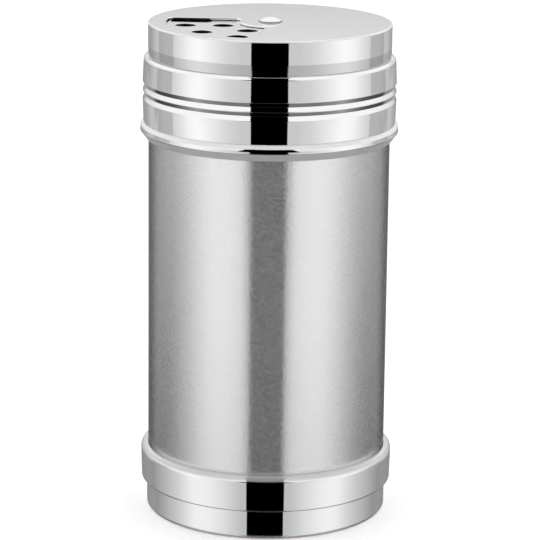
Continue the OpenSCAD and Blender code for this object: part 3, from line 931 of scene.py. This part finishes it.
collar = turned("lid_collar_polished", sheet(collar_line, LID_SHEET), polished)
finish_piece(collar, "lid", ["lid_collar"])

# %% [markdown]
# ## The rivet and its washers
# The rivet holds the cap on the insert: a low dome above, a shank, and a closed end below two
# washers, one dished to brake the cap and one flat. Half of a squashed sphere would end upright
# at its edge. The dome is the top of a larger ball instead, whose radius follows from the dome's
# width and height.

# %% Rivet
SHANK_R, DOME_R, DOME_H, DOME_STEPS = 2.0, 3.1, 1.2, 16
TAIL_R, TAIL_H, TAIL_BEND = 3.0, 0.8, 0.4
SPRING_H, WASHER_H = 0.7, 0.5
DOME_Z = CAP_TOP + TURN_GAP
SPRING_Z = PLATE_Z - LID_SHEET - TURN_GAP
WASHER_Z = SPRING_Z - SPRING_H
TAIL_Z = WASHER_Z - WASHER_H
ball = (DOME_R ** 2 + DOME_H ** 2) / (2 * DOME_H)
edge = math.asin((ball - DOME_H) / ball)
dome = [Vector((ball * math.cos(a), DOME_Z + DOME_H - ball + ball * math.sin(a)))
        for a in (edge + (math.pi / 2 - edge) * i / DOME_STEPS for i in range(DOME_STEPS + 1))]
tail = bent([(0, TAIL_Z - TAIL_H, 0), (TAIL_R, TAIL_Z - TAIL_H, TAIL_BEND), (TAIL_R, TAIL_Z, 0)])
shank = [Vector((SHANK_R, TAIL_Z)), Vector((SHANK_R, DOME_Z))]
rivet = turned("pivot_rivet_polished", tail + shank + dome, rivet_steel, closed=False)
finish_piece(rivet, "pivot", ["pivot_rivet"])

# %% Washers
WASHER_R, WASHER_BEND, SPRING_SHEET = 5.0, 0.1, 0.3
spring = turned("spring_washer_mill", [Vector(p) for p in (
    (HOLE_R, WASHER_Z), (WASHER_R, SPRING_Z - SPRING_SHEET), (WASHER_R, SPRING_Z),
    (HOLE_R, WASHER_Z + SPRING_SHEET))], plain)
finish_piece(spring, "pivot", ["spring_washer"])
washer = turned("rivet_washer_mill", ring_section(HOLE_R, TAIL_Z, WASHER_R, WASHER_Z,
                                                  WASHER_BEND, start=0.2), plain)
finish_piece(washer, "pivot", ["rivet_washer"])

# %% [markdown]
# ## Punched plates with Geometry Nodes
# The insert is a hat whose flat top is perforated, and the cap has a fan-shaped window. A boolean
# cut would leave ragged shading on a mirror, so the plate is woven instead: rows of circles and
# the fan outlines are filled as one flat face, and a small rolled profile is swept along each of
# them to make the punched rim. The rim's upright face gets a dull torn finish, because a punch
# doesn't polish what it cuts. On the insert that face is painted nearly black as a painted shade
# for the dark inside of the openings. On the cap it is painted black as a painted shade on its
# left part, which lies over the pour opening at rest. A row of holes is a rule of its own: how
# many, at which radius, round which direction, how far apart.

# %% A row of holes
tree = hole_row = bpy.data.node_groups.new("row of holes", "GeometryNodeTree")
add_sockets(tree, "OUTPUT", [("Curves", "Geometry")])
add_sockets(tree, "INPUT", [("Count", "Int"), ("Row radius", "Float"), ("Direction", "Float"),
                            ("Step", "Float"), ("Hole radius", "Float"), ("Resolution", "Int")])
given = add(tree, "NodeGroupInput").outputs
index = geo(tree, "InputIndex")
middle = maths(tree, "DIVIDE", maths(tree, "SUBTRACT", given["Count"], 1.0), 2.0)
angle = maths(tree, "MULTIPLY_ADD", maths(tree, "SUBTRACT", index, middle), given["Step"],
              given["Direction"])
spot = vector(tree, maths(tree, "MULTIPLY", given["Row radius"], maths(tree, "COSINE", angle)),
              maths(tree, "MULTIPLY", given["Row radius"], maths(tree, "SINE", angle)))
points = geo(tree, "Points", {"Count": given["Count"], "Position": spot})
ring = geo(tree, "CurvePrimitiveCircle", {
    "Resolution": given["Resolution"], "Radius": given["Hole radius"]})
rings = geo(tree, "InstanceOnPoints", {"Points": points, "Instance": ring})
real = geo(tree, "RealizeInstances", [rings])
add(tree, "NodeGroupOutput", [real])
print("row of holes:", len(tree.nodes), "nodes")

# %% The parts of a punched plate
LARGE_HOLE_R, LARGE_HOLE_STEPS, SMALL_HOLE_STEPS = 2, 72, 40
UPPER_CORNERS, FILLET_STEPS, UPRIGHT_BELOW = 2, 5, 0.35


def join(tree, *parts):
    """Several geometries as one, in the order given."""
    node = add(tree, "GeometryNodeJoinGeometry")
    for part in parts:
        tree.links.new(part, node.inputs[0])
    return node.outputs[0]


def shifted(tree, geometry, place):
    """The geometry moved by a vector."""
    return geo(tree, "Transform", {"Geometry": geometry, "Translation": place})


def opening_curves(tree, given, rows):
    """The outlines of the fan and of each row of holes, all wider by the rim's margin."""
    curves = [add(tree, "GeometryNodeObjectInfo", {
        "Object": given["Openings"]}).outputs["Geometry"]]
    for count, row_radius, direction, step, hole_radius in rows:
        curves.append(geo(tree, "Group", {
            "Count": count, "Row radius": row_radius * MM,
            "Direction": math.radians(direction), "Step": math.radians(step),
            "Hole radius": maths(tree, "ADD", given["Margin"], hole_radius * MM),
            "Resolution": LARGE_HOLE_STEPS if hole_radius > LARGE_HOLE_R else SMALL_HOLE_STEPS,
        }, node_tree=hole_row))
    return join(tree, *curves)


def flat_face(tree, given, curves):
    """The face between the plate's edge and its openings."""
    edge_circle = geo(tree, "CurvePrimitiveCircle", {
        "Resolution": given["Segments"], "Radius": given["Plate radius"]})
    outlines = join(tree, edge_circle, curves)
    return geo(tree, "FillCurve", {"Curve": outlines})


def rim_profile(tree, given):
    """The rim's section: over the edge, down the cut with its burr, and back below. Its two
    upper corners get the rim's rounding, the two lower ones the smaller one."""
    reach = maths(tree, "MULTIPLY", given["Margin"], -1.0)
    low_edge = maths(tree, "ADD", given["Sheet"], given["Burr"])
    corners = [vector(tree, *values) for values in (
        (0.0, 0.0, 0.0), (reach, 0.0, 0.0), (reach, low_edge, 0.0), (0.0, given["Sheet"], 0.0))]
    profile = geo(tree, "CurvePrimitiveQuadrilateral", {
        f"Point {i + 1}": corner for i, corner in enumerate(corners)}, mode="POINTS")
    profile = geo(tree, "SetSplineCyclic", {"Geometry": profile, "Cyclic": False})
    index = geo(tree, "InputIndex")
    is_upper = maths(tree, "LESS_THAN", index, UPPER_CORNERS - 0.5)
    rounding = blend(tree, is_upper, given["Under rounding"], given["Rim rounding"])
    return geo(tree, "FilletCurve", {
        "Curve": profile, "Count": FILLET_STEPS, "Radius": rounding}, mode="POLY")


# %% The punched plate
def plate_tree(name, rows):
    """A tree that closes a turned wall with a plate. The rows of holes are (count, row radius,
    direction, step, hole radius) in millimetres and degrees."""
    tree = new_tree(name, [
        ("Openings", "Object"), ("Plate radius", "Float"), ("Segments", "Int"), ("Top", "Float"),
        ("Sheet", "Float"), ("Rim rounding", "Float"), ("Under rounding", "Float"),
        ("Burr", "Float"), ("Margin", "Float"), ("Material", "Material"),
        ("Cut edge", "Material")])
    given = add(tree, "NodeGroupInput").outputs
    raised = vector(tree, 0.0, 0.0, given["Top"])
    lowered = vector(tree, 0.0, 0.0, maths(tree, "ADD", given["Top"],
                                           maths(tree, "MULTIPLY", given["Sheet"], -1.0)))
    curves = opening_curves(tree, given, rows)
    face = flat_face(tree, given, curves)
    flat_curves = geo(tree, "SetCurveNormal", {"Curve": curves}, mode="Z_UP")
    rims = geo(tree, "CurveToMesh", {
        "Curve": flat_curves, "Profile Curve": rim_profile(tree, given)})
    marked = add(tree, "GeometryNodeCaptureAttribute", {
        "Geometry": shifted(tree, rims, raised)}, domain="FACE")
    marked.capture_items.new("BOOLEAN", "rim")
    marked.inputs[1].default_value = True
    parts = join(tree, given["Geometry"], shifted(tree, face, raised),
                 shifted(tree, face, lowered), marked.outputs[0])
    normal = geo(tree, "InputNormal")
    up = maths(tree, "ABSOLUTE", add(tree, "ShaderNodeSeparateXYZ", [normal]).outputs[2])
    upright = out(tree, "FunctionNodeCompare", {"A": up, "B": UPRIGHT_BELOW}, operation="LESS_THAN")
    torn = out(tree, "FunctionNodeBooleanMath", [marked.outputs[1], upright], operation="AND")
    close_tree(tree, parts, given["Material"], given["Cut edge"], torn)
    return tree


# %% [markdown]
# ## Fan-shaped openings
# The cap's window and the insert's pour opening are fans between two circles and two straight
# edges, with rounded corners. An edge may run beside the axis instead of through it, as the
# window's far edge does. They could be drawn by hand with curve handles, but worked out from radii
# and directions they stay true to the rows of holes. The outline is laid outside the real opening
# by the rim's margin, and goes to the plate tree as a curve.

# %% Fan outlines
CORNER_STEPS, OUTER_STEPS, INNER_STEPS = 10, 60, 30


def distinct(line):
    """The closed line without points that two arcs share."""
    return [p for i, p in enumerate(line) if (p - line[i - 1]).length > SAME_POINT]


def polar(radius, degrees):
    """The point at that radius and direction."""
    return Vector((math.cos(math.radians(degrees)), math.sin(math.radians(degrees)))) * radius


def arc(centre, radius, start, end, count):
    """Points of an arc about a centre, from one direction to another."""
    return [centre + polar(radius, start + (end - start) * i / count) for i in range(count + 1)]


def fan(r0, r1, a0, side0, a1, side1, q):
    """Corner points of a fan between the radii r0 and r1 and the directions a0 and a1. Each
    straight edge runs beside the axis by its side distance, and q rounds the corners."""
    v0, v1 = q - side0, q - side1
    low0, high0 = (math.degrees(math.asin(v0 / r)) for r in (r0 + q, r1 - q))
    low1, high1 = (math.degrees(math.asin(v1 / r)) for r in (r0 + q, r1 - q))
    zero = Vector((0, 0))
    return distinct(
        arc(polar(r1 - q, a0 + high0), q, a0 - 90, a0 + high0, CORNER_STEPS)
        + arc(zero, r1, a0 + high0, a1 - high1, OUTER_STEPS)
        + arc(polar(r1 - q, a1 - high1), q, a1 - high1, a1 + 90, CORNER_STEPS)
        + arc(polar(r0 + q, a1 - low1), q, a1 + 90, a1 - low1 + 180, CORNER_STEPS)
        + arc(zero, r0, a1 - low1, a0 + low0, INNER_STEPS)
        + arc(polar(r0 + q, a0 + low0), q, a0 + low0 + 180, a0 + 270, CORNER_STEPS))


# %% Fitting a plate
RIM_ROUND, UNDER_ROUND, RIM_FLAT = 0.25, 0.08, 0.04
MARGIN = RIM_ROUND + RIM_FLAT


def fan_curve(name, r0, r1, a0, side0, a1, side1, q):
    """The fan widened by the rim's margin, as a closed curve object."""
    m = MARGIN
    points = fan(r0 - m, r1 + m, a0, side0 + m, a1, side1 + m, q + m)
    data = bpy.data.curves.new(name, "CURVE")
    data.dimensions = "3D"
    spline = data.splines.new("POLY")
    spline.points.add(len(points) - 1)
    for point, place in zip(spline.points, points):
        point.co = (place.x * MM, place.y * MM, 0, 1)
    spline.use_cyclic_u = True
    print(f"{name}: {len(points)} points")
    return bpy.data.objects.new(name, data)


def plated(piece, tree, opening, plate_radius, top, burr, material, edge):
    """Adds the punched plate to a turned wall. The burr is how far the punch drew the openings'
    edge down."""
    modifier = piece.modifiers.new("plate", "NODES")
    modifier.node_group = tree
    set_inputs(modifier, {
        "Openings": opening, "Plate radius": plate_radius * MM, "Segments": SEGMENTS,
        "Top": top * MM, "Sheet": LID_SHEET * MM, "Rim rounding": RIM_ROUND * MM,
        "Under rounding": UNDER_ROUND * MM, "Burr": burr * MM, "Margin": MARGIN * MM,
        "Material": material, "Cut edge": edge})


# %% [markdown]
# ## Sieve insert and turning cap
# The insert carries five large holes, three rows of fine ones and the pour opening. The cap nests
# over it, and its window shows one group at a time. Neither tree alone makes such a shell, so each
# is made in two steps: its wall is turned as far as the flat top, and the plate tree closes it.

# %% Insert
HAT_FLANGE_R, HAT_BEND, INSERT_PLATE_R = 30.25, 0.5, 28.5
HAT_LOW_Z = FLANGE_Z + LID_SHEET
SPRINKLE_R, SPRINKLE_AT, FINE_R, FINE_AT, FINE_STEP = 2.6, 218, 1.2, 40, 22
RIVET_HOLE = (1, 0.0, 0, 0, HOLE_R)
INSERT_ROWS = [
    (3, 21.0, SPRINKLE_AT, 30, SPRINKLE_R), (2, 11.9, SPRINKLE_AT, 48, SPRINKLE_R),
    (2, 11.9, FINE_AT, FINE_STEP, FINE_R), (3, 16.45, FINE_AT, FINE_STEP, FINE_R),
    (4, 21.0, FINE_AT, FINE_STEP, FINE_R), RIVET_HOLE]
hat_line = bent([(HAT_FLANGE_R, HAT_LOW_Z, 0), (HAT_R, HAT_LOW_Z, TIGHT),
                 (HAT_R, PLATE_Z, HAT_BEND), (INSERT_PLATE_R, PLATE_Z, 0)])
insert = turned("sieve_insert_polished", sheet(hat_line, LID_SHEET, round_last=False),
                sieve_steel, closed=False)
pour_opening = fan_curve("pour opening", r0=15, r1=25, a0=100, side0=0, a1=176, side1=0, q=1.4)
plated(insert, plate_tree("perforated plate", INSERT_ROWS), pour_opening, INSERT_PLATE_R,
       PLATE_Z, 0.0, sieve_steel, hole_edge_shade)
finish_piece(insert, "lid", ["sieve_insert"])

# %% Cap
CAP_R, CAP_HEM_R, CAP_PLATE_R, CAP_BEND, BURR = 30.1, 30.0, 29.6, 0.41, 0.12
cap_line = bent([(CAP_HEM_R, SHOULDER_Z + FINE_GAP, 0), (CAP_R, HEM_TOP_Z, 0),
                 (CAP_R, CAP_TOP, CAP_BEND), (CAP_PLATE_R, CAP_TOP, 0)])
cap = turned("turning_cap_polished", sheet(cap_line, LID_SHEET, round_last=False), cap_steel,
             closed=False)
window = fan_curve("window", r0=7.6, r1=25.6, a0=177, side0=3.8, a1=262, side1=0, q=1.4)
plated(cap, plate_tree("windowed plate", [RIVET_HOLE]), window, CAP_PLATE_R, CAP_TOP, BURR,
       cap_steel, cut)
finish_piece(cap, "cap", ["turning_cap"])
